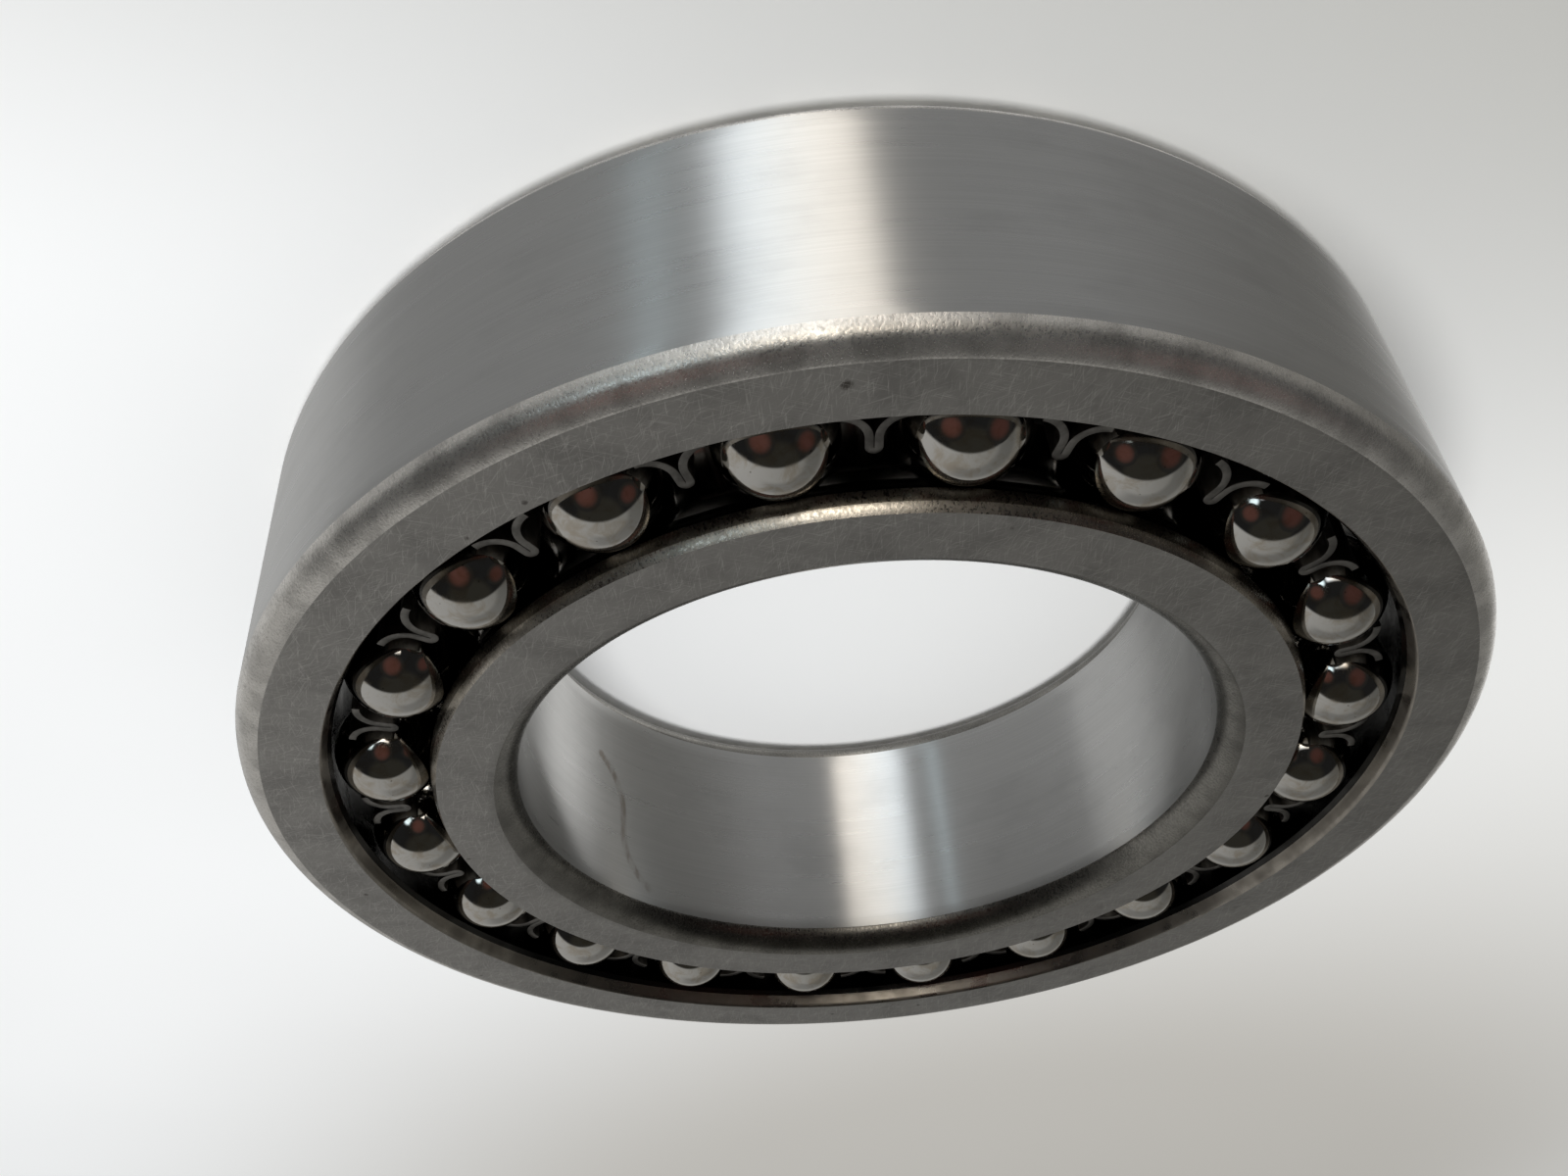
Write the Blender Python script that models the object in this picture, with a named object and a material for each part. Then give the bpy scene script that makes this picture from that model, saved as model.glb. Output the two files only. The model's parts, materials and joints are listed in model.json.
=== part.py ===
"""Self-aligning ball bearing: 75 mm bore, 130 mm outside diameter, 31 mm wide.

The outer ring has one spherical raceway, centred on the origin. The inner ring has two grooves.
Two rows of balls run between them, the second row turned by half a ball spacing, and one
pressed-steel cage keeps the balls of both rows apart. The inner ring, the cage and the balls can
swivel as one unit inside the outer ring.

Metres. +Z is the bearing's axis, and the origin is the centre of the spherical raceway.
"""

import math

import bmesh
import bpy
from mathutils import Matrix, Vector

# Section, from the bore outwards. These add up to an outside diameter of 130 mm.
BORE_DIAMETER = 0.075
INNER_WALL = 0.00764
BALL_DIAMETER = 0.0111125
OUTER_WALL = 0.007452
RACE_GAP = 0.00018

# Along the axis
WIDTH = 0.031
BALL_SETBACK = 0.00014

# Rows
BALLS_PER_ROW = 20

# Edges of the rings
OUTER_CORNER = 0.0024
MOUTH_CHAMFER = 0.00105
BORE_CORNER_RADIAL = 0.0023
BORE_CORNER_AXIAL = 0.0026

# Inner ring, outside
SHOULDER_HEIGHT = 0.00163
SHOULDER_BEVEL = 0.00118
RIB_HEIGHT = 0.0020

# Cage
SHEET = 0.0008
BAND_THICKNESS = 0.0009
BAND_DROP = 0.00093
POCKET_GAP = 0.0007
HORN_HEIGHT = 0.0023
FINGER_DROP = 0.00128
FINGER_KNEE = 0.00022
FINGER_REACH = 0.0026
LIP_RISE = 0.00332
LIP_GAP = 0.00045
ROOT_OVERLAP = 0.0006

# Facets
RING_STEPS = 60
RACE_STEPS = 5
CORNER_STEPS = 3
GROOVE_STEPS = 4
POCKET_STEPS = 3
ARM_STEPS = 2
BALL_SEGMENTS = 12
BALL_RINGS = 6
SHARP_ANGLE = math.radians(32)

# What follows from the sizes above
bore_r = BORE_DIAMETER / 2
ball_r = BALL_DIAMETER / 2
half_width = WIDTH / 2
track_r = ball_r + RACE_GAP
groove_bottom_r = bore_r + INNER_WALL
pitch_r = groove_bottom_r + track_r
row_z = half_width - BALL_SETBACK - ball_r
sphere_r = math.hypot(pitch_r, row_z) + track_r
outer_r = sphere_r + OUTER_WALL
spacing = 2 * math.pi / BALLS_PER_ROW


def clear_scene():
    for obj in list(bpy.data.objects):
        bpy.data.objects.remove(obj, do_unlink=True)


def steel(name, colour, roughness):
    material = bpy.data.materials.new(name)
    material.use_nodes = True
    shader = material.node_tree.nodes["Principled BSDF"]
    shader.inputs["Base Color"].default_value = (*colour, 1.0)
    shader.inputs["Roughness"].default_value = roughness
    shader.inputs["Metallic"].default_value = 1.0
    return material


def add_object(name, mesh, material):
    mesh.shade_smooth()
    mesh.set_sharp_from_angle(angle=SHARP_ANGLE)
    mesh.materials.append(material)
    obj = bpy.data.objects.new(name, mesh)
    bpy.context.scene.collection.objects.link(obj)
    return obj


def corner(from_point, to_point, centre, steps):
    """Points (radius, z) of a quarter ellipse about centre, with both ends."""
    start = Vector(from_point) - Vector(centre)
    end = Vector(to_point) - Vector(centre)
    points = []
    for i in range(steps + 1):
        angle = math.pi / 2 * i / steps
        point = Vector(centre) + start * math.cos(angle) + end * math.sin(angle)
        points.append(tuple(point))
    return points


def mirrored(half):
    """A half profile at +z and its mirror image, as one closed loop."""
    return half + [(r, -z) for r, z in reversed(half)]


def turned(name, profile):
    """A closed (radius, z) profile turned about Z."""
    shape = bmesh.new()
    points = [shape.verts.new((r, 0.0, z)) for r, z in profile]
    edges = [shape.edges.new((points[i - 1], points[i])) for i in range(len(points))]
    bmesh.ops.spin(
        shape,
        geom=points + edges,
        cent=(0, 0, 0),
        axis=(0, 0, 1),
        angle=2 * math.pi,
        steps=RING_STEPS,
        use_merge=True,
    )
    bmesh.ops.recalc_face_normals(shape, faces=shape.faces)
    mesh = bpy.data.meshes.new(name)
    shape.to_mesh(mesh)
    shape.free()
    return mesh


def outer_profile():
    """Half section of the outer ring: corner, face, mouth chamfer and the spherical raceway."""
    chamfer_end_z = half_width - MOUTH_CHAMFER
    race_edge = math.asin(chamfer_end_z / sphere_r)
    mouth_r = sphere_r * math.cos(race_edge) + MOUTH_CHAMFER
    rounding = min(OUTER_CORNER, 0.8 * (outer_r - mouth_r))
    centre = (outer_r - rounding, half_width - rounding)
    half = corner((outer_r, centre[1]), (centre[0], half_width), centre, CORNER_STEPS)
    half.append((mouth_r, half_width))
    for i in range((RACE_STEPS + 1) // 2):
        angle = race_edge * (1 - 2 * i / RACE_STEPS)
        half.append((sphere_r * math.cos(angle), sphere_r * math.sin(angle)))
    return half


def inner_profile():
    """Half section of the inner ring: rib, groove, bevelled shoulder, face and bore corner."""
    rib_angle = math.acos(max(-0.5, 1 - RIB_HEIGHT / track_r))
    shoulder_angle = math.acos(max(0.2, 1 - SHOULDER_HEIGHT / track_r))
    half = []
    for i in range(GROOVE_STEPS + 1):
        angle = -rib_angle + (rib_angle + shoulder_angle) * i / GROOVE_STEPS
        half.append((pitch_r - track_r * math.cos(angle), row_z + track_r * math.sin(angle)))
    face_r = half[-1][0] - SHOULDER_BEVEL
    half.append((face_r, half_width))
    radial = min(BORE_CORNER_RADIAL, 0.8 * (face_r - bore_r))
    centre = (bore_r + radial, half_width - BORE_CORNER_AXIAL)
    half += corner((centre[0], half_width), (bore_r, centre[1]), centre, CORNER_STEPS - 1)
    return half


def band_edge(side):
    """Azimuth and z of the cage band's edge on one side, scalloped round the balls of that row."""
    pocket_r = ball_r + POCKET_GAP
    reach = math.acos(min(0.95, max(0.05, 1 - HORN_HEIGHT / pocket_r)))
    band_r = pitch_r - BAND_DROP
    edge = []
    for ball in range(BALLS_PER_ROW):
        for i in range(POCKET_STEPS + 1):
            angle = reach * (2 * i / POCKET_STEPS - 1)
            azimuth = row_turn(side) + ball * spacing + math.asin(pocket_r * math.sin(angle) / band_r)
            edge.append((azimuth, side * (row_z - pocket_r * math.cos(angle))))
    return edge


def row_turn(side):
    """The first row starts on +X, and the second is turned by half a spacing."""
    return 0.0 if side > 0 else -spacing / 2


def band_mesh():
    """The cage's band between the rows: a thin tube with scalloped edges."""
    inner_r = pitch_r - BAND_DROP - BAND_THICKNESS / 2
    outer_r = inner_r + BAND_THICKNESS
    shape = bmesh.new()
    loops = []
    for side, r in ((1, outer_r), (-1, outer_r), (-1, inner_r), (1, inner_r)):
        edge = [(r * math.cos(azimuth), r * math.sin(azimuth), z) for azimuth, z in band_edge(side)]
        loops.append([shape.verts.new(point) for point in edge])
    for i in range(4):
        bridge(shape, loops[i - 1], loops[i])
    bmesh.ops.recalc_face_normals(shape, faces=shape.faces)
    mesh = bpy.data.meshes.new("cage")
    shape.to_mesh(mesh)
    shape.free()
    return mesh


def bridge(shape, one, two):
    """Quads between two loops of equal length, point by point."""
    for i in range(len(one)):
        shape.faces.new((one[i - 1], one[i], two[i], two[i - 1]))


def finger_section():
    """Section of a cage finger across its length: two sheet legs that part into curled lips.

    Each arm's middle line is a quarter ellipse that leaves the knee straight outwards and ends
    level over the ball. The points are (along the pitch circle, radius).
    """
    floor_r = pitch_r - FINGER_DROP
    knee_r = pitch_r + FINGER_KNEE
    lip_r = pitch_r + LIP_RISE
    ball_t = pitch_r * math.sin(spacing / 2)
    ball_at_r = pitch_r * math.cos(spacing / 2)
    over_ball = lip_r - SHEET / 2 - ball_at_r
    tip_t = ball_t - math.sqrt(max((ball_r + LIP_GAP) ** 2 - over_ball**2, SHEET**2))
    arm = []
    for i in range(ARM_STEPS + 1):
        angle = math.pi / 2 * i / ARM_STEPS
        along = (
            tip_t - (tip_t - SHEET / 2) * math.cos(angle),
            knee_r + (lip_r - knee_r) * math.sin(angle),
        )
        run = ((tip_t - SHEET / 2) * math.sin(angle), (lip_r - knee_r) * math.cos(angle))
        length = math.hypot(*run)
        arm.append((along, (run[1] / length, -run[0] / length)))
    ball_side = [(t + n_t * SHEET / 2, r + n_r * SHEET / 2) for (t, r), (n_t, n_r) in arm]
    crotch_side = [(t - n_t * SHEET / 2, r - n_r * SHEET / 2) for (t, r), (n_t, n_r) in arm]
    right = [(SHEET, floor_r)] + ball_side + crotch_side[:0:-1]
    return right + [(0.0, knee_r)] + [(-t, r) for t, r in reversed(right)]


def finger_mesh():
    """All fingers of both rows, each a prism along Z, standing half a spacing from the balls."""
    section = finger_section()
    root_z = row_z - (ball_r + POCKET_GAP) + HORN_HEIGHT - ROOT_OVERLAP
    tip_z = row_z + FINGER_REACH
    shape = bmesh.new()
    for side in (1, -1):
        for finger in range(BALLS_PER_ROW):
            azimuth = row_turn(side) + (finger + 0.5) * spacing
            turn = Matrix.Rotation(azimuth - math.pi / 2, 4, "Z")
            foot = [shape.verts.new(turn @ Vector((t, r, side * root_z))) for t, r in section]
            tip = [shape.verts.new(turn @ Vector((t, r, side * tip_z))) for t, r in section]
            bridge(shape, foot, tip)
            shape.faces.new(foot)
            shape.faces.new(tip)
    bmesh.ops.recalc_face_normals(shape, faces=shape.faces)
    mesh = bpy.data.meshes.new("cage_fingers")
    shape.to_mesh(mesh)
    shape.free()
    return mesh


def make_cage(material):
    cage = add_object("cage", band_mesh(), material)
    fingers = add_object("cage_fingers", finger_mesh(), material)
    fingers.hide_render = True
    fingers.display_type = "WIRE"
    union = cage.modifiers.new("fingers", "BOOLEAN")
    union.operation = "UNION"
    union.solver = "EXACT"
    union.object = fingers
    return cage


def ball_mesh():
    shape = bmesh.new()
    bmesh.ops.create_uvsphere(shape, u_segments=BALL_SEGMENTS, v_segments=BALL_RINGS, radius=ball_r)
    mesh = bpy.data.meshes.new("ball")
    shape.to_mesh(mesh)
    shape.free()
    mesh.shade_smooth()
    return mesh


def make_balls(material):
    """Each ball's own Z lies on the axis that it rolls about, square to its line of contact."""
    shared = ball_mesh()
    shared.materials.append(material)
    contact_angle = math.atan2(row_z, pitch_r)
    for side, row in ((1, "a"), (-1, "b")):
        for number in range(BALLS_PER_ROW):
            azimuth = row_turn(side) + number * spacing
            ball = bpy.data.objects.new(f"ball_{row}{number + 1:02d}", shared)
            ball.location = (pitch_r * math.cos(azimuth), pitch_r * math.sin(azimuth), side * row_z)
            ball.rotation_euler = (0.0, -side * contact_angle, azimuth)
            bpy.context.scene.collection.objects.link(ball)


def main():
    clear_scene()
    ground = steel("ground_steel", (0.42, 0.41, 0.39), 0.32)
    polished = steel("ball_steel", (0.62, 0.61, 0.60), 0.08)
    pressed = steel("cage_steel", (0.33, 0.32, 0.30), 0.45)
    add_object("outer_ring", turned("outer_ring", mirrored(outer_profile())), ground)
    add_object("inner_ring", turned("inner_ring", mirrored(inner_profile())), ground)
    make_cage(pressed)
    make_balls(polished)


main()
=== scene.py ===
"""Looks of a self-aligning ball bearing: two ground rings, forty polished balls and a pressed cage.

Metres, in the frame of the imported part. +Z is the bearing's axis, out of the face that shows.
"""

import json
import math

import bmesh
import bpy
import numpy as np
from mathutils import Matrix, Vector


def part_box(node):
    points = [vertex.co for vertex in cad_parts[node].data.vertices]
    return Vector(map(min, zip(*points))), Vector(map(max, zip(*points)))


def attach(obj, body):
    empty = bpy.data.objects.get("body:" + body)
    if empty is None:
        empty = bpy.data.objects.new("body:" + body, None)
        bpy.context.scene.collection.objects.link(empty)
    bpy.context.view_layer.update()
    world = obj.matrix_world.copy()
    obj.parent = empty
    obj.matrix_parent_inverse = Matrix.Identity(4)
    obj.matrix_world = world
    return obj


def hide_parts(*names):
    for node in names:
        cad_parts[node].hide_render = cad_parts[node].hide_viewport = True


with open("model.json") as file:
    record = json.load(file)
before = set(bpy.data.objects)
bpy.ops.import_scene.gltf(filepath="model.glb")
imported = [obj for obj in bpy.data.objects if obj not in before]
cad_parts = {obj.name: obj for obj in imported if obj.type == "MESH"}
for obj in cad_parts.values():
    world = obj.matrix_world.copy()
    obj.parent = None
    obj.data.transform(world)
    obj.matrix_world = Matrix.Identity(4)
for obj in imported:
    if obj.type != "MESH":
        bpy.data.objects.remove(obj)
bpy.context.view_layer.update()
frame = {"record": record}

# Outer ring
# One ring of hardened bearing steel. The outside is ground round and round, the faces are ground
# flat, the raceway is a polished sphere whose near-black colour is painted shade, and the rounded
# corners keep their tumbled skin.
MM = 0.001
outer_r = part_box("outer_ring")[1].x
half_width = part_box("outer_ring")[1].z
first_ball = (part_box("ball_a01")[0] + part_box("ball_a01")[1]) / 2
pitch_r = first_ball.x
row_z = first_ball.z
BALL_R = 5.55625 * MM
RACE_GAP = 0.18 * MM
race_r = math.hypot(pitch_r, row_z) + BALL_R + RACE_GAP
OUTER_CORNER = 2.4 * MM
CORNER_BULGE = 0.52 * MM
MOUTH_R = 56.76 * MM
MOUTH_BEND = (56.27 * MM, 14.0 * MM)
MOUTH_END_Z = 13.4 * MM
EDGE_BREAK = 0.12 * MM
NICK_R = 60.57 * MM
NICK_AZIMUTH = 101.4
NICK_SIZE = 0.7 * MM
NICK_TONE = (0.035, 0.028, 0.022)
STATIONS = 720


def straight(start, end, count):
    """Points from start towards end: start + (end - start) k / count, for k below count."""
    k = np.arange(count)[:, None] / count
    return np.array(start) + (np.array(end) - np.array(start)) * k


def bend(centre, across, along, start, end, count):
    """Points on an ellipse: centre + (across cos a, along sin a), a from start towards end."""
    a = np.radians(start + (end - start) * np.arange(count) / count)
    return np.stack([centre[0] + across * np.cos(a), centre[1] + along * np.sin(a)], axis=1)


def bulged(start, end, bulge, count):
    """Points on a shallow bow from start towards end, which stands bulge off their chord, to its right.

    start + (end - start) k / count - bulge square (1 - (2 k / count - 1)^2), for k below count,
    where square points to the left of the chord
    """
    run = np.array(end) - np.array(start)
    square = np.array([-run[1], run[0]]) / np.linalg.norm(run)
    k = np.arange(count)[:, None] / count
    return np.array(start) + run * k - bulge * square * (1 - (2 * k - 1) ** 2)


def woven(rows, columns, wraps_rows=True, wraps_columns=True):
    """Quads between neighbours on a grid of points that are numbered row by row."""
    i = np.arange(rows if wraps_rows else rows - 1)[:, None]
    j = np.arange(columns if wraps_columns else columns - 1)
    i_next = (i + 1) % rows
    j_next = (j + 1) % columns
    corners = [i * columns + j, i_next * columns + j, i_next * columns + j_next, i * columns + j_next]
    return np.stack(corners, axis=-1).reshape(-1, 4)


def linked(name, data):
    """A new object in the scene that holds a mesh, a camera or a lamp."""
    obj = bpy.data.objects.new(name, data)
    bpy.context.scene.collection.objects.link(obj)
    return obj


def surface(name, grid, finish_of_row, materials):
    """Quads over a grid of points that closes on itself both ways, faces outwards."""
    rows, columns = grid.shape[:2]
    quads = woven(rows, columns)
    points = grid.reshape(-1, 3)
    a, b, c = points[quads[:, 0]], points[quads[:, 1]], points[quads[:, 2]]
    if np.einsum("ij,ij->i", a, np.cross(b, c)).sum() < 0:
        quads = quads[:, ::-1]
    mesh = bpy.data.meshes.new(name)
    mesh.from_pydata(points.tolist(), [], quads.tolist())
    for material in materials:
        mesh.materials.append(material)
    mesh.polygons.foreach_set("material_index", np.repeat(finish_of_row, columns).astype(np.int32))
    mesh.shade_smooth()
    mesh.set_sharp_from_angle(angle=math.radians(35))
    return linked(name, mesh)


def whole_section(half, middle):
    """A half section at +z, a middle point at z = 0 and the mirror image: one loop, with finishes."""
    points = np.concatenate([run for run, _ in half])
    finish = np.concatenate([np.full(len(run), number) for run, number in half])
    loop = np.concatenate([points, [middle], points[:0:-1] * (1, -1)])
    return loop, np.concatenate([finish, finish[::-1]])


def turned(name, half, middle, materials):
    """A closed section turned about Z: (r, z) becomes (r cos a, r sin a, z)."""
    section, finish = whole_section(half, middle)
    a = np.radians(360 * np.arange(STATIONS) / STATIONS)
    r, z = section[:, 0, None], section[:, 1, None]
    grid = np.stack([r * np.cos(a), r * np.sin(a), z + 0 * a], axis=2)
    return surface(name, grid, finish, materials)


class Finish:
    """A finish: a Principled shader, metal at first, and short calls that add nodes in front of it."""

    def __init__(self, name, colour, roughness):
        self.material = bpy.data.materials.new(name)
        self.material.use_nodes = True
        self.tree = self.material.node_tree
        self.shader = self.tree.nodes["Principled BSDF"]
        self.shader.inputs["Metallic"].default_value = 1.0
        self.shader.inputs["Base Color"].default_value = (*colour, 1)
        self.shader.inputs["Roughness"].default_value = roughness
        self.place = self.add("ShaderNodeTexCoord").outputs["Object"]

    def add(self, kind, inputs=(), **settings):
        """A node with its settings, and its inputs linked or set by name or number."""
        made = self.tree.nodes.new(kind)
        for key, value in settings.items():
            setattr(made, key, value)
        for key, value in dict(inputs).items():
            if isinstance(value, bpy.types.NodeSocket):
                self.tree.links.new(value, made.inputs[key])
            else:
                made.inputs[key].default_value = value
        return made

    def sized(self, scale, turn=0.0):
        """The place on the piece, turned about Z by degrees, then multiplied by scale per axis."""
        inputs = {"Vector": self.place, "Angle": math.radians(turn)}
        turned_place = self.add("ShaderNodeVectorRotate", inputs).outputs[0]
        inputs = {0: turned_place, 1: scale}
        return self.add("ShaderNodeVectorMath", inputs, operation="MULTIPLY").outputs[0]

    def noise(self, place, scale=1.0, detail=3.0, rough=0.5, warp=0.0):
        inputs = {"Vector": place, "Scale": scale, "Detail": detail, "Roughness": rough, "Distortion": warp}
        return self.add("ShaderNodeTexNoise", inputs).outputs["Fac"]

    def remap(self, value, low, high, to_low=0.0, to_high=1.0, smooth=True):
        inputs = {"Value": value, "From Min": low, "From Max": high, "To Min": to_low, "To Max": to_high}
        kind = "SMOOTHSTEP" if smooth else "LINEAR"
        return self.add("ShaderNodeMapRange", inputs, interpolation_type=kind).outputs["Result"]

    def math(self, operation, a, b=0.0):
        return self.add("ShaderNodeMath", {0: a, 1: b}, operation=operation).outputs[0]

    def blend(self, share, a, b):
        """Colour a, with b laid over it by share."""
        inputs = {0: share, 6: self.colour(a), 7: self.colour(b)}
        return self.add("ShaderNodeMix", inputs, data_type="RGBA").outputs[2]

    def colour(self, value):
        return value if isinstance(value, bpy.types.NodeSocket) else (*value, 1)

    def near(self, point, size):
        """1 at a point on the piece, falling to 0 at size metres from it."""
        gap = self.add("ShaderNodeVectorMath", {0: self.place, 1: point}, operation="DISTANCE")
        return self.remap(gap.outputs["Value"], 0.35 * size, size, 1.0, 0.0)

    def dots(self, scale, rare_from, rare_to, core):
        """Round specks: a few cells of a Voronoi pattern, picked by their colour, hold a dot each."""
        cells = self.add("ShaderNodeTexVoronoi", {"Vector": self.place, "Scale": scale})
        channel = self.add("ShaderNodeSeparateColor", {0: cells.outputs["Color"]}).outputs[0]
        dot = self.remap(cells.outputs["Distance"], core, 0.16, 1.0, 0.0)
        return self.math("MULTIPLY", dot, self.remap(channel, rare_from, rare_to))

    def share_of(self, direction):
        """Dot product of the place on the piece with a direction."""
        inputs = {0: self.place, 1: tuple(direction)}
        return self.add("ShaderNodeVectorMath", inputs, operation="DOT_PRODUCT").outputs["Value"]

    def relief(self, height, depth, strength=1.0):
        """Bump from a height of 0 to 1 that stands for depth metres."""
        inputs = {"Height": height, "Distance": depth, "Strength": strength}
        made = self.add("ShaderNodeBump", inputs)
        self.tree.links.new(made.outputs[0], self.shader.inputs["Normal"])

    def paint(self, colour=None, roughness=None):
        if colour is not None:
            self.tree.links.new(colour, self.shader.inputs["Base Color"])
        if roughness is not None:
            self.tree.links.new(roughness, self.shader.inputs["Roughness"])

    def brushed_round(self, amount):
        """Grinding lines that run round Z spread each highlight along the axis."""
        tangent = self.add("ShaderNodeTangent", direction_type="RADIAL", axis="Z")
        self.tree.links.new(tangent.outputs[0], self.shader.inputs["Tangent"])
        self.shader.inputs["Anisotropic"].default_value = amount
        self.shader.inputs["Anisotropic Rotation"].default_value = 0.25


def ground_round(name, tone):
    """Steel ground on a cylinder: fine lines round it, faint cloudy tarnish and a few long scuffs."""
    made = Finish(name, tone, 0.3)
    lines = made.noise(made.sized((25, 25, 9000)), detail=2.0)
    cloud = made.noise(made.sized((90, 90, 160)), detail=5.0, rough=0.6)
    smears = made.noise(made.sized((60, 60, 900)), detail=4.0)
    tarnish = made.remap(cloud, 0.45, 0.75, 0.0, 0.35)
    dull = made.blend(tarnish, tone, tuple(0.72 * c for c in tone))
    shade = made.remap(lines, 0.2, 0.8, 0.93, 1.07, smooth=False)
    shade = made.math("MULTIPLY", shade, made.remap(smears, 0.3, 0.7, 0.98, 1.02))
    tinted = made.add("ShaderNodeVectorMath", {0: dull, "Scale": shade}, operation="SCALE").outputs[0]
    made.paint(tinted, made.remap(smears, 0.3, 0.7, 0.27, 0.30))
    made.relief(lines, 0.0000015)
    made.brushed_round(0.95)
    return made


def ground_face(name, tone):
    """Steel ground flat: crossed hair scratches, cloudy tarnish, small dark specks and one nick."""
    made = Finish(name, tone, 0.4)
    scratch = 0.0
    for turn, fine in ((12, 9000), (78, 8000), (96, 9500), (118, 8500), (152, 7500)):
        hair = made.noise(made.sized((420, fine, 420), turn), detail=2.0)
        scratch = made.math("ADD", scratch, made.remap(hair, 0.58, 0.74))
    grain = made.noise(made.sized((5200, 5200, 5200)), detail=2.0)
    cloud = made.noise(made.sized((140, 140, 140)), detail=6.0, rough=0.65, warp=0.3)
    worn = made.blend(made.remap(cloud, 0.42, 0.68), tone, tuple(0.78 * c for c in tone))
    specks = made.math("MULTIPLY", made.dots(420.0, 0.90, 0.93, 0.05), 0.7)
    spotted = made.blend(specks, worn, NICK_TONE)
    a = math.radians(NICK_AZIMUTH)
    nick = made.near((NICK_R * math.cos(a), NICK_R * math.sin(a), half_width), NICK_SIZE)
    spotted = made.blend(made.math("MULTIPLY", nick, 0.8), spotted, NICK_TONE)
    bright = tuple(min(1.0, 1.9 * c) for c in tone)
    lit = made.blend(made.math("MULTIPLY", scratch, 0.24), spotted, bright)
    made.paint(lit, made.remap(made.math("ADD", scratch, cloud), 0.3, 1.6, 0.44, 0.30))
    made.relief(made.math("SUBTRACT", made.math("MULTIPLY", grain, 0.35), scratch), 0.000006, 0.7)
    return made


def tumbled(name, tone, grit=1.0, scale=0.0):
    """Steel left from heat treatment and tumbling: pitted and stroked, with a share of dull scale."""
    made = Finish(name, tone, 0.34)
    made.shader.inputs["Metallic"].default_value = 1.0 - scale
    pits = made.noise(made.sized((4200, 4200, 2600)), detail=3.0, rough=0.6)
    strokes = made.noise(made.sized((5200, 1500, 1500), 25), detail=2.0)
    cloud = made.noise(made.sized((260, 260, 260)), detail=4.0)
    rubbed = made.blend(made.remap(cloud, 0.4, 0.65), tone, tuple(0.72 * c for c in tone))
    pocked = made.blend(made.remap(pits, 0.56, 0.70, 0.0, 0.5), rubbed, tuple(0.4 * c for c in tone))
    made.paint(pocked, made.remap(pits, 0.35, 0.65, 0.24, 0.38))
    height = made.math("ADD", pits, made.math("MULTIPLY", strokes, 0.6))
    made.relief(height, 0.000022 * grit, 0.8)
    return made


def polished(name, tone, roughness=0.07):
    """Honed or finely turned steel: a smooth shine, with a trace of oil film and hairlines round it."""
    made = Finish(name, tone, roughness)
    film = made.noise(made.sized((320, 320, 320)), detail=4.0)
    filmy = made.blend(made.remap(film, 0.4, 0.7), tone, tuple(0.8 * c for c in tone))
    made.paint(filmy, made.remap(film, 0.35, 0.7, roughness, 1.8 * roughness))
    made.relief(made.noise(made.sized((40, 40, 5200)), detail=1.0), 0.000001)
    return made


mouth_end = (math.sqrt(race_r**2 - MOUTH_END_Z**2), MOUTH_END_Z)
race_edge = math.degrees(math.atan2(mouth_end[1], mouth_end[0]))
corner_foot = (outer_r, half_width - OUTER_CORNER)
corner_top = (outer_r - OUTER_CORNER, half_width)
outer_half = [
    (straight((outer_r, 0), corner_foot, 8), 0),
    (bulged(corner_foot, corner_top, CORNER_BULGE, 18), 1),
    (straight(corner_top, (MOUTH_R + EDGE_BREAK, half_width), 8), 2),
    (straight((MOUTH_R + EDGE_BREAK, half_width), (MOUTH_R, half_width - EDGE_BREAK), 2), 4),
    (straight((MOUTH_R, half_width - EDGE_BREAK), MOUTH_BEND, 4), 4),
    (straight(MOUTH_BEND, mouth_end, 2), 3),
    (bend((0, 0), race_r, race_r, race_edge, 0, 14), 3),
]
outer_finishes = [
    ground_round("ground_outside", (0.385, 0.385, 0.38)),
    tumbled("tumbled_corner", (0.52, 0.50, 0.47), 1.3, 0.12),
    ground_face("ground_face", (0.31, 0.302, 0.29)),
    # The raceway's near-black tone is painted shade for the dark gap between the rings.
    polished("raceway_painted_shade", (0.04, 0.039, 0.037), 0.16),
    polished("turned_mouth", (0.33, 0.305, 0.27), 0.24),
]
outer_ring = turned("outer_ring_skin", outer_half, (race_r, 0.0), [f.material for f in outer_finishes])
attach(outer_ring, "outer_ring")
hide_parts("outer_ring")

# Inner ring
# One ring of the same steel. Its bore and faces are ground and its two ball grooves polished. Its
# bore corners stay dark, and a rubbed shoulder and a darker land lie between face and groove.
BORE_R = 37.5 * MM
GROOVE_BOTTOM_R = 45.14 * MM
SHOULDER_HEIGHT = 1.21 * MM
SHOULDER_TOP_R = 45.6 * MM
SHOULDER_BEND = (46.1 * MM, 14.56 * MM)
SHOULDER_BULGE = 0.03 * MM
LAND_BULGE = 0.04 * MM
RIB_HEIGHT = 2.0 * MM
BORE_CORNER_R = 2.3 * MM
BORE_CORNER_Z = 2.6 * MM
BORE_BULGE = 0.42 * MM
STAIN_AZIMUTH = -132.8
STAIN_SWING = 6.3
STAIN_FROM = -5.2 * MM
STAIN_TO = 10.8 * MM
STAIN_WIDTH = 0.75 * MM
STAIN_TONE = (0.17, 0.13, 0.095)


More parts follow.
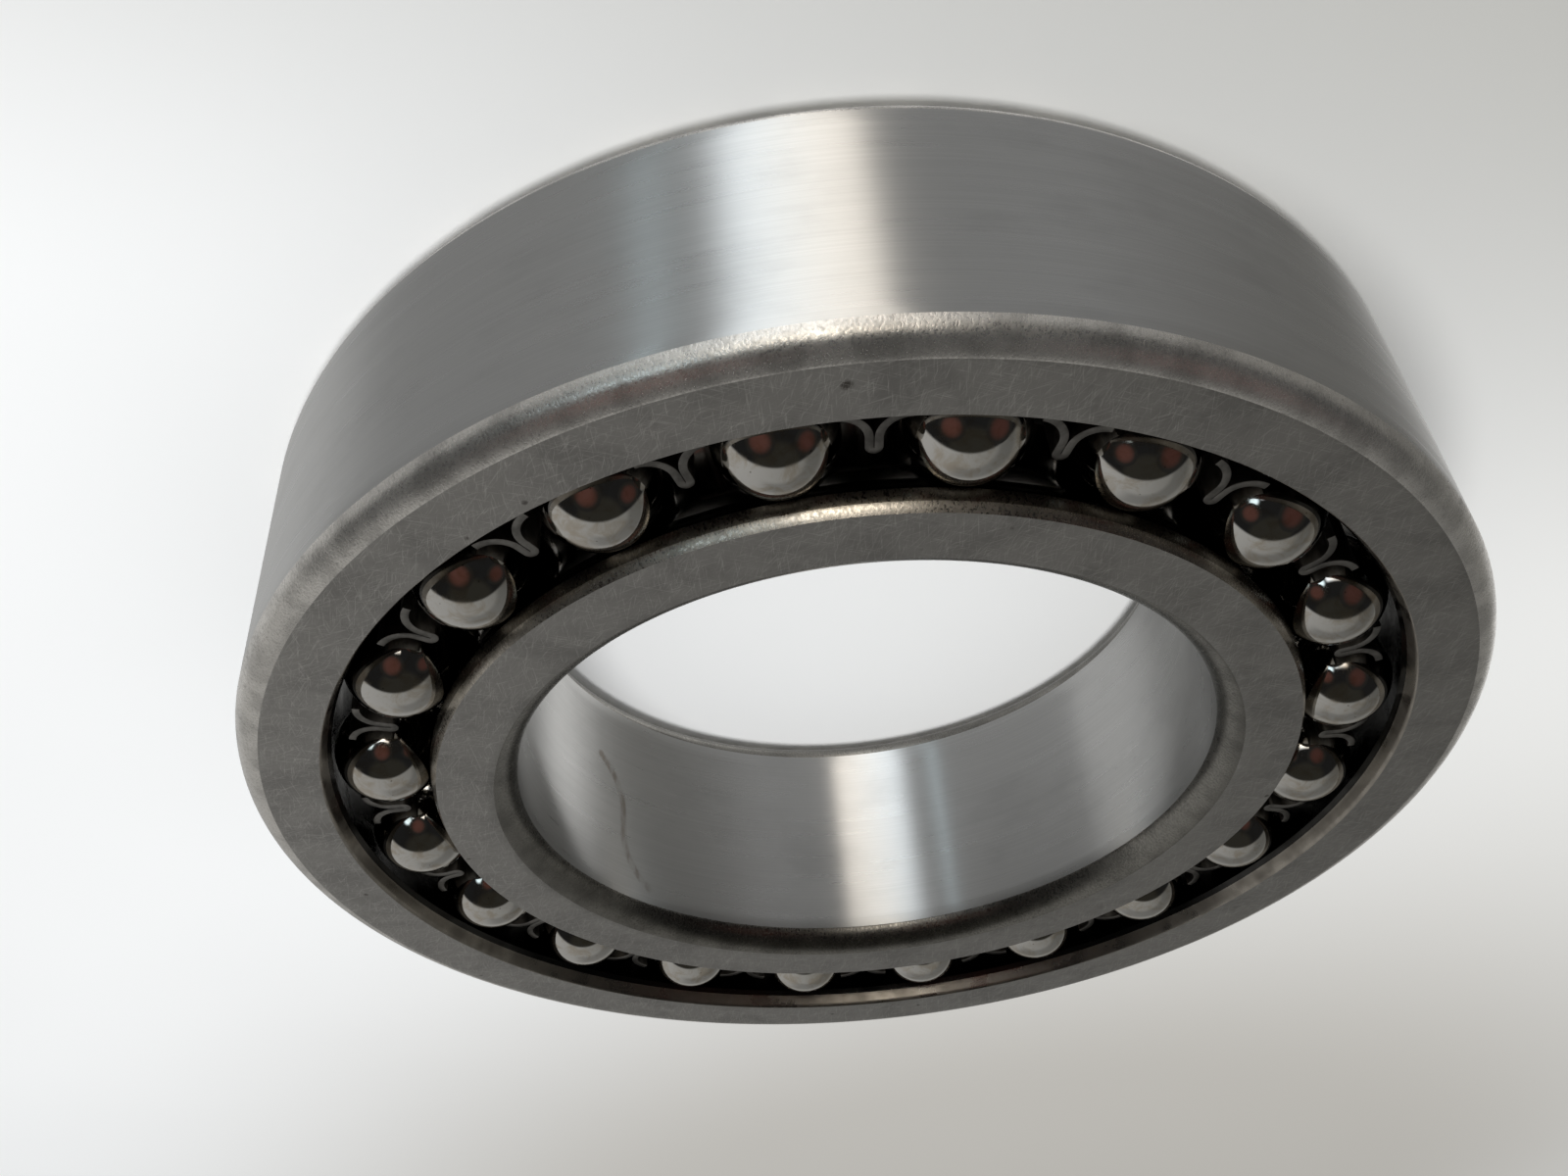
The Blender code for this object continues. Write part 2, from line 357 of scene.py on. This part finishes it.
def stain_line(finish):
    """A thin brown rust line down the bore: azimuth + swing (2 t - 1)^3, for t from 0 to 1 along Z."""
    line = 0.0
    for t in np.linspace(0, 1, 41):
        a = math.radians(STAIN_AZIMUTH + STAIN_SWING * (2 * t - 1) ** 3)
        height = STAIN_FROM + (STAIN_TO - STAIN_FROM) * float(t)
        blot = finish.near((BORE_R * math.cos(a), BORE_R * math.sin(a), height), STAIN_WIDTH)
        line = finish.math("MAXIMUM", line, blot)
    faint = finish.remap(finish.noise(finish.sized((700, 700, 260)), detail=2.0), 0.35, 0.65, 0.12, 0.62)
    clean = finish.shader.inputs["Base Color"].links[0].from_socket
    finish.paint(finish.blend(finish.math("MULTIPLY", line, faint), clean, STAIN_TONE))


groove_r = BALL_R + RACE_GAP
rib_angle = math.degrees(math.acos(1 - RIB_HEIGHT / groove_r))
shoulder_angle = math.degrees(math.acos(1 - SHOULDER_HEIGHT / groove_r))
shoulder_r = GROOVE_BOTTOM_R + SHOULDER_HEIGHT
shoulder_z = row_z + groove_r * math.sin(math.radians(shoulder_angle))
rib_r = GROOVE_BOTTOM_R + RIB_HEIGHT
rib_z = row_z - groove_r * math.sin(math.radians(rib_angle))
bore_foot = (BORE_R, half_width - BORE_CORNER_Z)
bore_top = (BORE_R + BORE_CORNER_R, half_width)
inner_half = [
    (straight((BORE_R, 0), bore_foot, 8), 0),
    (bulged(bore_foot, bore_top, -BORE_BULGE, 14), 1),
    (straight(bore_top, (SHOULDER_TOP_R, half_width), 6), 2),
    (bulged((SHOULDER_TOP_R, half_width), SHOULDER_BEND, -SHOULDER_BULGE, 5), 4),
    (bulged(SHOULDER_BEND, (shoulder_r, shoulder_z), -LAND_BULGE, 6), 5),
    (bend((pitch_r, row_z), groove_r, groove_r, 180 - shoulder_angle, 180 + rib_angle, 20), 3),
    (straight((rib_r, rib_z), (rib_r, 0), 4), 3),
]
bore_finish = ground_round("ground_bore", (0.44, 0.44, 0.435))
stain_line(bore_finish)
inner_finishes = [
    bore_finish,
    tumbled("turned_bore_corner", (0.22, 0.212, 0.195), 0.5),
    outer_finishes[2],
    polished("ball_grooves", (0.40, 0.39, 0.38)),
    tumbled("tumbled_shoulder", (0.56, 0.52, 0.46), 0.6),
    tumbled("turned_land", (0.20, 0.18, 0.15), 0.6),
]
inner_ring = turned("inner_ring_skin", inner_half, (rib_r, 0.0), [f.material for f in inner_finishes])
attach(inner_ring, "inner_ring")
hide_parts("inner_ring")

# Cage
# One pressing of soft steel sheet: a band between the rows, scalloped round each ball, and a folded
# finger between two balls, whose legs curl apart over them. Beside the two balls that the swivel
# turns on, the lips are shorter, to leave them room.
BALLS_PER_ROW = 20
SHEET = 0.79 * MM
BAND_R = 49.95 * MM
BAND_THICKNESS = 0.9 * MM
POCKET_R = BALL_R + 0.7 * MM
HORN_HEIGHT = 2.3 * MM
FOLD_R = 0.40 * MM
FOLD_CENTRE_R = 50.45 * MM
KNEE_T = 0.405 * MM
KNEE_R = 51.5 * MM
LIP_R = 54.0 * MM
LIP_REACH = 3.1 * MM
SHORT_REACH = 2.76 * MM
PIVOT_FINGERS = (0, 9, 10, 19)
FINGER_RISE = 2.6 * MM
ROOT_SINK = 0.6 * MM
finger_tip_z = row_z + FINGER_RISE
finger_root_z = row_z - POCKET_R + HORN_HEIGHT - ROOT_SINK
spacing = 2 * math.pi / BALLS_PER_ROW


def finger_line(reach):
    """Middle line of the folded sheet, (along the circle, radius), from lip to lip.

    Half of it is a quarter circle at the fold, a straight leg and a quarter ellipse that ends
    level at the lip: (reach - (reach - knee) cos a, knee + (lip - knee) sin a).
    """
    a = np.radians(90 * np.arange(6) / 6)
    fold = np.stack([FOLD_R * np.sin(a), FOLD_CENTRE_R - FOLD_R * np.cos(a)], axis=1)
    leg = straight((FOLD_R, FOLD_CENTRE_R), (KNEE_T, KNEE_R), 4)
    a = np.radians(90 * np.arange(15) / 14)
    arm = np.stack([reach - (reach - KNEE_T) * np.cos(a), KNEE_R + (LIP_R - KNEE_R) * np.sin(a)], axis=1)
    half = np.concatenate([fold, leg, arm])
    return np.concatenate([half[:0:-1] * (-1, 1), half])


def sheet_section(thickness, low, high, round_off=0.1 * MM):
    """Section of a sheet, (across, along): thick across, from low to high, with softened edges."""
    h = thickness / 2
    top = [(-h, high - round_off), (-h + 0.3 * round_off, high - 0.3 * round_off), (-h + round_off, high)]
    end = [(-x, y) for x, y in top[::-1]]
    foot = [(h, low), (-h, low)]
    return np.array(foot + top + end)


def finger_grid(azimuth, side, reach):
    """The section carried along the folded line, then turned to the finger's place."""
    line = finger_line(reach)
    run = np.gradient(line, axis=0)
    run /= np.linalg.norm(run, axis=1)[:, None]
    across = np.stack([run[:, 1], -run[:, 0]], axis=1)
    section = sheet_section(SHEET, finger_root_z, finger_tip_z)
    t = line[:, 0, None] + across[:, 0, None] * section[:, 0]
    r = line[:, 1, None] + across[:, 1, None] * section[:, 0]
    z = side * (section[:, 1] + 0 * t)
    x = r * math.cos(azimuth) - t * math.sin(azimuth)
    y = r * math.sin(azimuth) + t * math.cos(azimuth)
    return np.stack([x, y, z], axis=2)


def band_edge(azimuth, row_start):
    """Height of the band's edge: it dips round each ball, row - sqrt(pocket^2 - distance^2)."""
    turn = (azimuth - row_start + spacing / 2) % spacing - spacing / 2
    away = np.abs(turn) * BAND_R
    dip = row_z - np.sqrt(np.clip(POCKET_R**2 - away**2, 0, None))
    return np.minimum(dip, row_z - POCKET_R + HORN_HEIGHT)


def row_start(side):
    return 0.0 if side > 0 else -spacing / 2


def band_grid():
    """A thin tube round Z whose two edges follow the pockets of the two rows."""
    a = 2 * np.pi * np.arange(1440) / 1440
    up, down = band_edge(a, row_start(1)), -band_edge(a, row_start(-1))
    inner, outer = BAND_R - BAND_THICKNESS / 2, BAND_R + BAND_THICKNESS / 2
    soft = 0.1 * MM
    rows = [
        (inner, down + soft), (inner, up - soft), (inner + soft, up), (outer - soft, up),
        (outer, up - soft), (outer, down + soft), (outer - soft, down), (inner + soft, down),
    ]
    return np.stack([np.stack([r * np.cos(a), r * np.sin(a), z + 0 * a], axis=1) for r, z in rows])


def sheet_steel(name, tone, roughness):
    """Soft cold-rolled sheet: dull, a little blotchy, with rolling grain."""
    made = Finish(name, tone, roughness)
    grain = made.noise(made.sized((2600, 2600, 900)), detail=4.0, rough=0.6)
    cloud = made.noise(made.sized((500, 500, 500)), detail=4.0)
    blotchy = made.blend(made.remap(cloud, 0.4, 0.65), tone, tuple(0.6 * c for c in tone))
    made.paint(blotchy, made.remap(grain, 0.3, 0.7, 0.8 * roughness, 1.2 * roughness))
    made.relief(grain, 0.000015, 0.7)
    return made


def cage_mesh():
    """Band and fingers as closed shells in one mesh, with the sheared ends in their own finish."""
    shells = [(band_grid(), [0, 0, 1, 0, 0, 0, 1, 0], True)]
    section_finish = [0, 0, 1, 1, 1, 1, 1, 0]
    for side in (1, -1):
        for finger in range(BALLS_PER_ROW):
            azimuth = row_start(side) + (finger + 0.5) * spacing
            beside_pivot = side > 0 and finger in PIVOT_FINGERS
            reach = SHORT_REACH if beside_pivot else LIP_REACH
            shells.append((finger_grid(azimuth, side, reach).transpose(1, 0, 2), section_finish, False))
    points, faces, finish, start = [], [], [], 0
    for grid, finishes, closes in shells:
        rows, columns = grid.shape[:2]
        last = columns if closes else columns - 1
        shell = woven(rows, columns, wraps_columns=closes).tolist()
        shell_finish = np.repeat(finishes, last).tolist()
        if not closes:
            shell += [[row * columns for row in range(rows)][::-1]]
            shell += [[row * columns + columns - 1 for row in range(rows)]]
            shell_finish += [1, 1]
        faces += [[start + corner for corner in face] for face in shell]
        finish += shell_finish
        points.append(grid.reshape(-1, 3))
        start += rows * columns
    return np.concatenate(points), faces, finish


def face_outwards(mesh):
    """Recalculates which way the faces of closed shells point."""
    shape = bmesh.new()
    shape.from_mesh(mesh)
    bmesh.ops.recalc_face_normals(shape, faces=shape.faces)
    shape.to_mesh(mesh)
    shape.free()


cage_points, cage_faces, cage_finish = cage_mesh()
mesh = bpy.data.meshes.new("cage_skin")
mesh.from_pydata(cage_points.tolist(), [], cage_faces)
for name, tone in (("cage_sheet", (0.20, 0.19, 0.175)), ("sheared_edge", (0.20, 0.193, 0.182))):
    mesh.materials.append(sheet_steel(name, tone, 0.42).material)
mesh.polygons.foreach_set("material_index", cage_finish)
face_outwards(mesh)
mesh.shade_smooth()
mesh.set_sharp_from_angle(angle=math.radians(40))
cage = linked("cage_skin", mesh)
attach(cage, "cage")
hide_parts("cage")

# Balls
# Forty balls of through-hardened steel, lapped to a mirror. Each one's poles lie on the axis that
# it rolls about, square to its line of contact.
BALL_SEGMENTS = 56
BALL_RINGS = 28
contact_angle = math.atan2(row_z, pitch_r)


def globe(rings, segments):
    """Points (sin p cos a, sin p sin a, cos p) of a unit ball, its two poles last, and its faces."""
    p = np.pi * np.arange(1, rings)[:, None] / rings
    a = 2 * np.pi * np.arange(segments) / segments
    points = np.stack([np.sin(p) * np.cos(a), np.sin(p) * np.sin(a), np.cos(p) + 0 * a], axis=2)
    points = np.concatenate([points.reshape(-1, 3), [(0, 0, 1), (0, 0, -1)]])
    north = len(points) - 2
    south = len(points) - 1
    last = (rings - 2) * segments
    j = np.arange(segments)
    j_next = (j + 1) % segments
    caps = np.concatenate([
        np.stack([0 * j + north, j, j_next], axis=1),
        np.stack([0 * j + south, last + j_next, last + j], axis=1),
    ])
    return points, woven(rings - 1, segments, wraps_rows=False).tolist() + caps.tolist()


def ball_mesh(name, centre, side):
    """A sphere: centre + R (unit ball's point, taken on three axes, the last the roll axis)."""
    azimuth = math.atan2(centre[1], centre[0])
    out = np.array([math.cos(azimuth), math.sin(azimuth), 0])
    round_z = np.array([-math.sin(azimuth), math.cos(azimuth), 0])
    roll = -side * math.sin(contact_angle) * out + np.array([0, 0, math.cos(contact_angle)])
    third = np.cross(round_z, roll)
    local, faces = globe(BALL_RINGS, BALL_SEGMENTS)
    points = centre + BALL_R * (local @ np.array([third, round_z, roll]))
    mesh = bpy.data.meshes.new(name)
    mesh.from_pydata(points.tolist(), [], faces)
    mesh.shade_smooth()
    return mesh


def lapped(name, tone):
    """Lapped ball steel: a mirror with tiny brown pits and a smeared trace of oil."""
    made = Finish(name, tone, 0.04)
    smear = made.noise(made.sized((520, 520, 520)), detail=5.0, rough=0.65, warp=0.6)
    pits = made.dots(1500.0, 0.86, 0.88, 0.06)
    browned = tuple(t * c for t, c in zip((0.74, 0.66, 0.55), tone))
    oily = made.blend(made.remap(smear, 0.42, 0.68, 0.0, 0.75), tone, browned)
    pitted = made.blend(made.math("MULTIPLY", pits, 0.75), oily, (0.06, 0.045, 0.03))
    made.paint(pitted, made.remap(smear, 0.4, 0.7, 0.035, 0.16))
    made.relief(made.math("SUBTRACT", smear, pits), 0.000002, 0.5)
    return made


ball_finish = lapped("lapped_ball", (0.50, 0.49, 0.47))
for body, nodes in frame["record"]["behaviour"]["bodies"].items():
    for node in nodes:
        if not node.startswith("ball_"):
            continue
        low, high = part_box(node)
        centre = np.array((low + high) / 2)
        mesh = ball_mesh(node + "_skin", centre, 1 if centre[2] > 0 else -1)
        mesh.materials.append(ball_finish.material)
        ball = linked(node + "_skin", mesh)
        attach(ball, body)
        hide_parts(node)

# Floor
# A plain pale table top, which takes the bearing's soft shadow; its colour carries painted shade, darker
# along +X and +Y, and a broad painted shadow.
# Metal doesn't mirror it: the card and the hands in the section on light are what metal sees.
FLOOR_SIZE = 6.0
FLOOR_GAP = 0.02 * MM
# Centre and size of a broad warm painted shadow on the table.
PAINTED_SHADOW_AT = (0.09, -0.27)
PAINTED_SHADOW_SIZE = 0.26


def floor_material():
    """Matt off-white: a faint uneven tone, with painted shade along +X and +Y and a broad warm painted
    shadow.
    """
    made = Finish("table_top", (0.9, 0.9, 0.9), 0.9)
    made.shader.inputs["Metallic"].default_value = 0.0
    made.shader.inputs["Specular IOR Level"].default_value = 0.1
    x = made.add("ShaderNodeSeparateXYZ", {0: made.place}).outputs[0]
    upward = made.share_of((0.25, 1.0, 0.0))
    cloud = made.noise(made.place, scale=6.0)
    pale = made.blend(made.remap(cloud, 0.3, 0.7), (0.93, 0.93, 0.92), (0.97, 0.97, 0.96))
    # Painted shade: the table darkens slightly along +X and strongly along +Y.
    across = made.blend(made.remap(x, -0.05, 0.14), pale, (0.89, 0.88, 0.85))
    painted_shade = made.blend(made.remap(upward, 0.015, 0.11, 0.0, 0.85), across, (0.42, 0.41, 0.375))
    # A broad warm painted shadow round one point of the table.
    painted_shadow = made.math("MULTIPLY", made.near((*PAINTED_SHADOW_AT, -half_width), PAINTED_SHADOW_SIZE), 0.8)
    made.paint(made.blend(painted_shadow, painted_shade, (0.50, 0.47, 0.42)))
    return made.material


half = FLOOR_SIZE / 2
mesh = bpy.data.meshes.new("table_top")
level = -half_width - FLOOR_GAP
corners = [(-half, -half, level), (half, -half, level), (half, half, level), (-half, half, level)]
mesh.from_pydata(corners, [], [(0, 1, 2, 3)])
mesh.materials.append(floor_material())
floor = linked("table_top", mesh)
floor.visible_glossy = False

# Camera
# Close above the ring and rolled over, so that the ring's near side is at the top of the picture.
CAMERA_AZIMUTH = 103.35
CAMERA_OUT = 134.64 * MM
CAMERA_UP = 93.07 * MM
AIM_AZIMUTH = 122.53
AIM_OUT = 19.09 * MM
CAMERA_ROLL = 174.77
LENS = 32.74
SENSOR = 36.0


def polar(azimuth, out, up=0.0):
    """The point at an azimuth in degrees, a distance out from Z and a height."""
    a = math.radians(azimuth)
    return np.array([out * math.cos(a), out * math.sin(a), up])


def looking(eye, aim, roll):
    """Axes of a camera at eye that looks at aim, upright, then rolled by degrees."""
    back = (eye - aim) / np.linalg.norm(eye - aim)
    right = np.cross((0, 0, 1), back)
    right /= np.linalg.norm(right)
    up = np.cross(back, right)
    c, s = math.cos(math.radians(roll)), math.sin(math.radians(roll))
    return np.stack([c * right + s * up, c * up - s * right, back], axis=1)


def placed(turn, point):
    """A matrix that turns by three axes, given as columns, and then moves to a point."""
    matrix = Matrix(turn.tolist()).to_4x4()
    matrix.translation = point
    return matrix


eye = polar(CAMERA_AZIMUTH, CAMERA_OUT, CAMERA_UP)
axes = looking(eye, polar(AIM_AZIMUTH, AIM_OUT), CAMERA_ROLL)
camera = linked("camera", bpy.data.cameras.new("camera"))
camera.matrix_world = placed(axes, eye)
camera.data.lens = LENS
camera.data.sensor_width = SENSOR
camera.data.clip_start = 0.01
camera.data.clip_end = 20.0
bpy.context.scene.camera = camera

# Light
# A soft lamp overhead in a white room. A shell that only reflections see stands in for what the
# metal mirrors: a dim side behind the camera with one tall bright window in it, and a pale wall
# and table beyond. Two dim shapes in it stand in for the hands.
CARD_R = 0.6
WINDOW_FROM = 90.0
WINDOW_TO = 117.0
WINDOW_TOP = 16.0
WINDOW_GLOW = 2.6
SHADE_AZIMUTH = 98.0
PANE_AT = (130.0, 20.0)
PANE_SIZE = 0.115
SLIT_AZIMUTH = 129.0
GLINT_AT = (104.0, 11.0)
GLINT_SIZE = 0.085
DARK = (0.27, 0.265, 0.25)
LEFT_HAND = (-68, 90, 90)
RIGHT_HAND = (74, 91, 83)
HAND_SIZE = (44, 44, 48)
LEFT_SKIN = (0.125, 0.056, 0.045)
RIGHT_SKIN = (0.085, 0.038, 0.031)
LAMP_AT = (125.0, 0.30, 0.9)
LAMP_SIZE = 0.4
LAMP_POWER = 5.8
ROOM_LIGHT = 0.44


def world_light():
    """White where the camera, metal or glass looks, and plain light for everything else."""
    world = bpy.data.worlds.new("white_room")
    bpy.context.scene.world = world
    world.use_nodes = True
    tree = world.node_tree
    tree.nodes.clear()
    seen = tree.nodes.new("ShaderNodeBackground")
    seen.inputs["Color"].default_value = (0.90, 0.91, 0.92, 1)
    lights = tree.nodes.new("ShaderNodeBackground")
    lights.inputs["Color"].default_value = (0.96, 0.98, 1.0, 1)
    lights.inputs["Strength"].default_value = ROOM_LIGHT
    path = tree.nodes.new("ShaderNodeLightPath")
    share = path.outputs["Is Camera Ray"]
    for name in ("Is Glossy Ray", "Is Transmission Ray"):
        either = tree.nodes.new("ShaderNodeMath")
        either.operation = "MAXIMUM"
        tree.links.new(share, either.inputs[0])
        tree.links.new(path.outputs[name], either.inputs[1])
        share = either.outputs[0]
    mix = tree.nodes.new("ShaderNodeMixShader")
    out = tree.nodes.new("ShaderNodeOutputWorld")
    tree.links.new(share, mix.inputs[0])
    tree.links.new(lights.outputs[0], mix.inputs[1])
    tree.links.new(seen.outputs[0], mix.inputs[2])
    tree.links.new(mix.outputs[0], out.inputs["Surface"])


def shell(name, centre, sizes, rings, segments):
    """An ellipsoid, closed at both poles: centre + a unit ball's point times a size on each axis."""
    points, faces = globe(rings, segments)
    mesh = bpy.data.meshes.new(name)
    mesh.from_pydata((points * sizes + centre).tolist(), [], faces)
    mesh.shade_smooth()
    return mesh


def glowing(finish, colour):
    """The finish's material, made plain light of a colour."""
    finish.tree.nodes.remove(finish.shader)
    glow = finish.add("ShaderNodeEmission", {"Color": colour, "Strength": 1.0})
    finish.tree.links.new(glow.outputs[0], finish.tree.nodes["Material Output"].inputs["Surface"])
    return finish.material


def on_card(azimuth, elevation):
    """The card's point in a direction given in degrees."""
    e = math.radians(elevation)
    return polar(azimuth, CARD_R * math.cos(e), CARD_R * math.sin(e))


def window_share(made, azimuth, elevation):
    """Share of the tall window: soft at its sides and its top, with no foot."""
    left = made.remap(azimuth, WINDOW_TO - 4.0, WINDOW_TO + 4.0, 1.0, 0.0)
    right = made.remap(azimuth, WINDOW_FROM - 1.0, WINDOW_FROM + 1.0)
    top = made.remap(elevation, WINDOW_TOP, WINDOW_TOP + 9.0, 1.0, 0.0)
    return made.math("MULTIPLY", made.math("MULTIPLY", left, right), top)


def nearer_side(made, elevation, leftward):
    """The dim side behind the camera: a grey room below the horizon, near black above it."""
    room = made.blend(made.remap(leftward, -0.9, -0.45), DARK, (0.48, 0.48, 0.475))
    shade = made.blend(made.remap(elevation, 48.0, 62.0), (0.018, 0.018, 0.018), (0.036, 0.034, 0.028))
    return made.blend(made.remap(elevation, -8.0, 8.0), room, shade)


def farther_side(made, azimuth, elevation, leftward):
    """The side beyond the ring: a table below the horizon, a wall above it that brightens leftward."""
    table = made.blend(made.remap(azimuth, -140.0, -112.0), (0.78, 0.78, 0.77), (0.40, 0.40, 0.39))
    table = made.blend(made.remap(azimuth, -60.0, -38.0), table, (1.3, 1.29, 1.26))
    low = made.blend(made.remap(azimuth, -34.0, -6.0), table, DARK)
    sideways = made.remap(leftward, -1.0, 1.0, smooth=False)
    wall = made.blend(sideways, (0.22, 0.217, 0.20), (0.57, 0.565, 0.55))
    dip = made.remap(elevation, 40.0, 52.0, 0.34, 0.0)
    dip = made.math("MULTIPLY", dip, made.remap(leftward, 0.1, 0.45, 1.0, 0.0))
    dip = made.math("MULTIPLY", dip, made.remap(elevation, 12.0, 24.0))
    high = made.blend(dip, wall, (0.02, 0.02, 0.02))
    return made.blend(made.remap(elevation, -18.0, 4.0), low, high)


def card_material():
    """Glows by direction from the bearing: by azimuth, by elevation, and by how far it lies beyond."""
    made = Finish("card_glow", (0, 0, 0), 1.0)
    x, y, z = made.add("ShaderNodeSeparateXYZ", {0: made.place}).outputs
    azimuth = made.math("MULTIPLY", made.math("ARCTAN2", y, x), 180 / math.pi)
    elevation = made.math("MULTIPLY", made.math("ARCSINE", made.math("DIVIDE", z, CARD_R)), 180 / math.pi)
    towards = made.share_of(polar(SHADE_AZIMUTH, 1.0 / CARD_R))
    leftward = made.share_of(polar(SHADE_AZIMUTH + 90, 1.0 / CARD_R))
    aside = made.math("MULTIPLY", made.math("MULTIPLY", leftward, leftward), 0.186)
    beyond = made.remap(made.math("SUBTRACT", towards, aside), -0.12, -0.22)
    nearer = nearer_side(made, elevation, leftward)
    around = made.blend(beyond, nearer, farther_side(made, azimuth, elevation, leftward))
    warm = made.blend(made.remap(azimuth, WINDOW_FROM, WINDOW_TO), (1.0, 0.93, 0.84), (0.90, 0.96, 1.0))
    bright = made.add("ShaderNodeVectorMath", {0: warm, "Scale": WINDOW_GLOW}, operation="SCALE").outputs[0]
    lit = made.blend(window_share(made, azimuth, elevation), around, bright)
    gap = made.math("ABSOLUTE", made.math("SUBTRACT", azimuth, SLIT_AZIMUTH))
    low = made.remap(elevation, 0.0, 10.0, 1.0, 0.0)
    slit = made.math("MULTIPLY", made.remap(gap, 0.4, 1.4, 1.0, 0.0), low)
    pane = made.near(on_card(*PANE_AT), PANE_SIZE)
    lit = made.blend(made.math("MAXIMUM", pane, slit), lit, (1.7, 2.05, 2.2))
    lit = made.blend(made.near(on_card(*GLINT_AT), GLINT_SIZE), lit, (6.6, 5.9, 4.8))
    return glowing(made, lit)


def hand_material(name, skin):
    """Dim red-brown skin that fades into the dark round it towards its outline."""
    made = Finish(name, (0, 0, 0), 1.0)
    facing = made.add("ShaderNodeLayerWeight", {"Blend": 0.5}).outputs["Facing"]
    return glowing(made, made.blend(made.remap(facing, 0.02, 0.5), skin, (0.026, 0.025, 0.023)))


def only_mirrored(name, mesh, material):
    """A staged object that nothing but reflections sees."""
    mesh.materials.append(material)
    obj = linked(name, mesh)
    obj.visible_camera = False
    obj.visible_diffuse = False
    obj.visible_shadow = False
    obj.visible_transmission = False


world_light()
card = shell("reflection_card", (0, 0, 0), (CARD_R, CARD_R, CARD_R), 64, 96)
only_mirrored("reflection_card", card, card_material())
for name, place, skin in (("left_hand", LEFT_HAND, LEFT_SKIN), ("right_hand", RIGHT_HAND, RIGHT_SKIN)):
    hand = shell(name, np.array(place) * MM, np.array(HAND_SIZE) * MM, 24, 36)
    only_mirrored(name, hand, hand_material(name + "_skin", skin))

lamp = bpy.data.lights.new("ceiling_light", "AREA")
lamp.shape = "DISK"
lamp.size = LAMP_SIZE
lamp.energy = LAMP_POWER
lamp.color = (0.98, 0.99, 1.0)
ceiling_light = linked("ceiling_light", lamp)
where = polar(*LAMP_AT)
ceiling_light.matrix_world = placed(looking(where, np.zeros(3), 0.0), where)
ceiling_light.visible_glossy = False

bpy.context.scene.view_settings.view_transform = "Standard"
